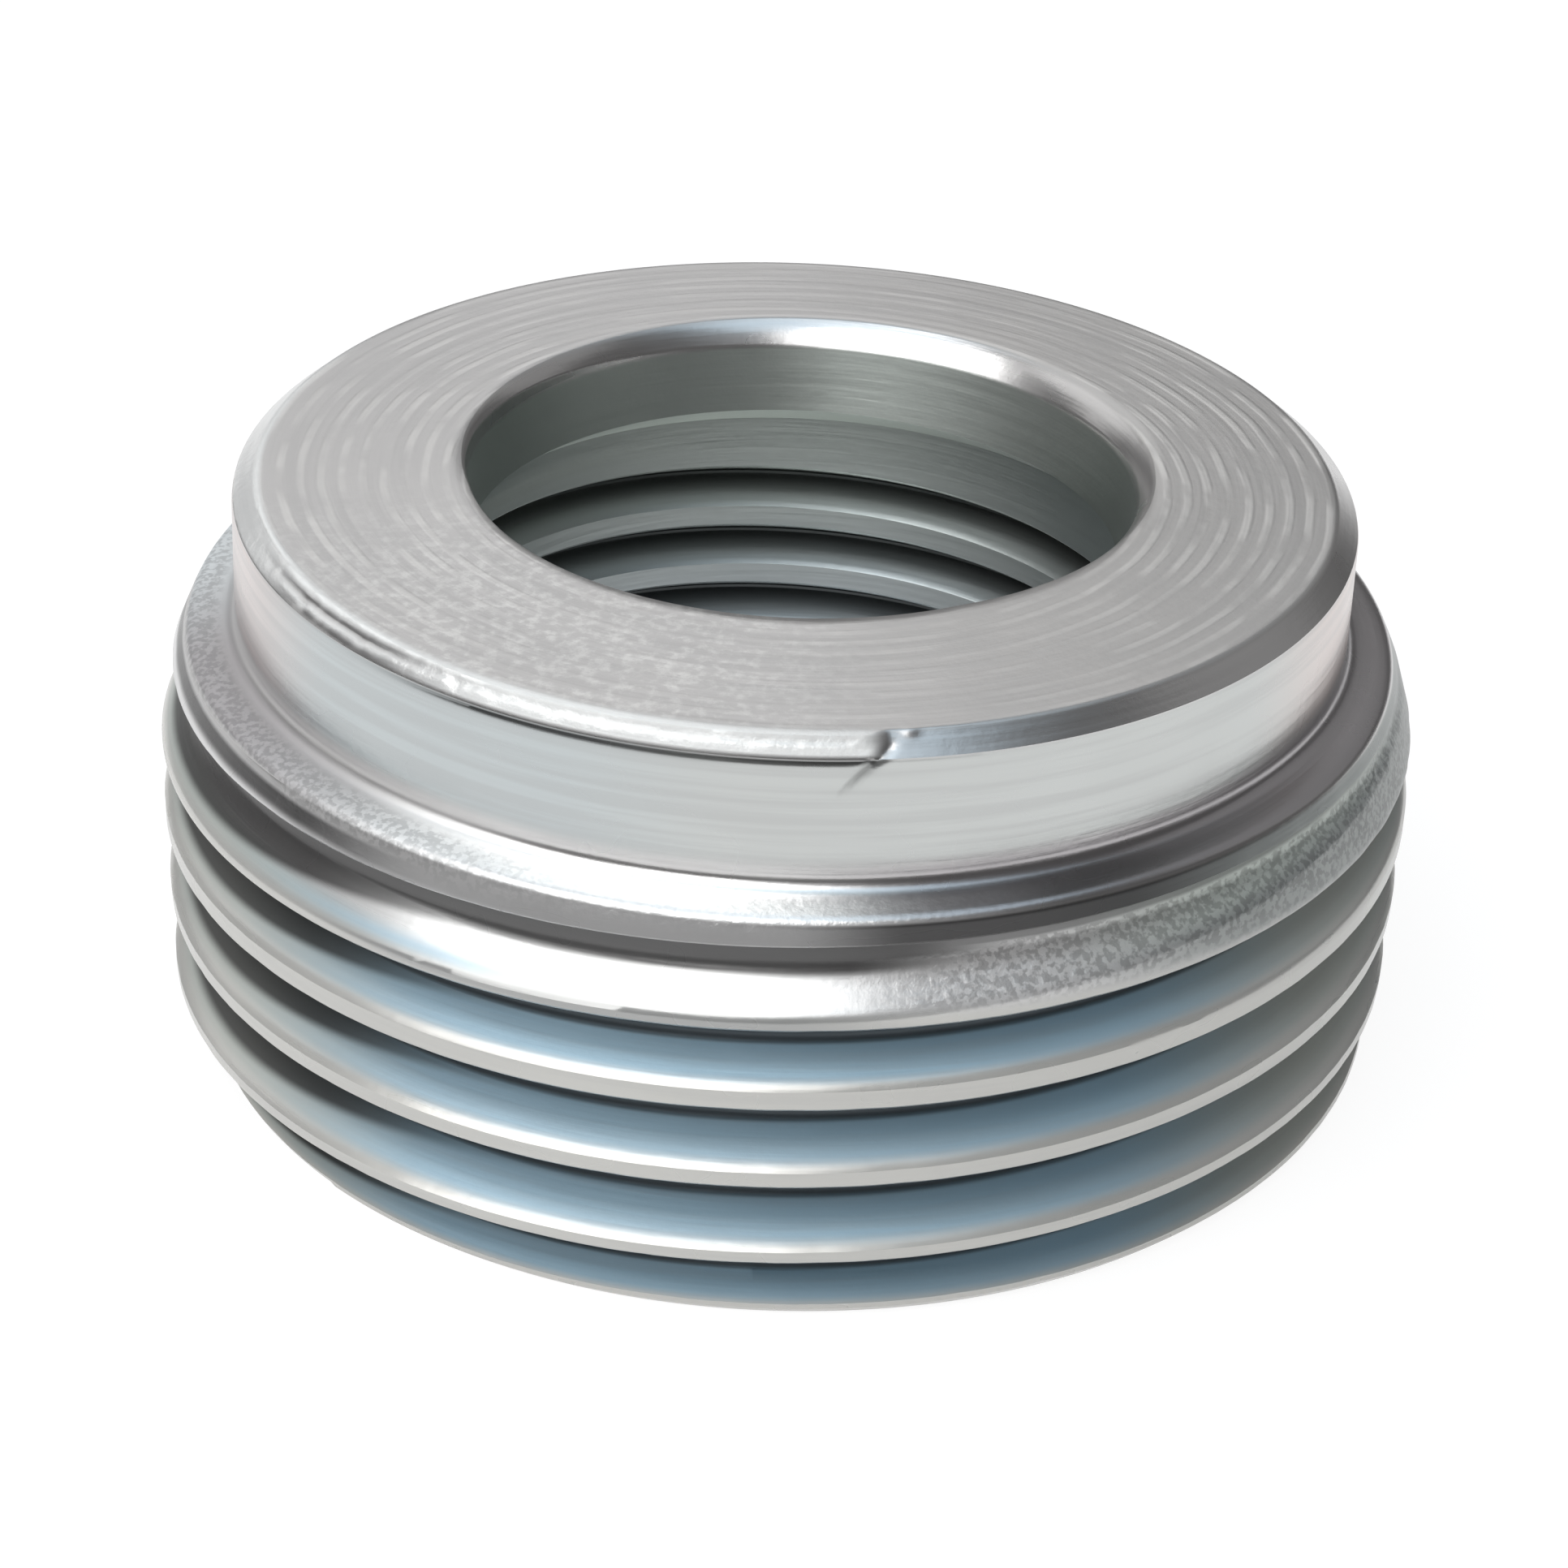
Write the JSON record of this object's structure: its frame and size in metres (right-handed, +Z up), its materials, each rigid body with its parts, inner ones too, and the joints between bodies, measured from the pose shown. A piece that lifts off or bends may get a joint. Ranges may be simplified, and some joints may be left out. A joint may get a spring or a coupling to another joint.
{
  "type": "conduit reducer",
  "caption": "Turned steel conduit reducer: tapered male pipe thread outside, smaller female pipe thread inside, plain collar with a smooth wire mouth.",
  "frame": {"origin": "centre of the flat lower face, on the fitting's own axis", "axes": "+Z up along the axis, from the threaded end to the collar; -Y faces the picture's view; +X is to the right in it"},
  "size_m": [0.033, 0.033, 0.0154],
  "materials": {
    "zinc_plated_steel": "bright zinc plate over turned steel, satin"
  },
  "bodies": {
    "root": {"reducer_body": "zinc_plated_steel"}
  },
  "joints": []
}
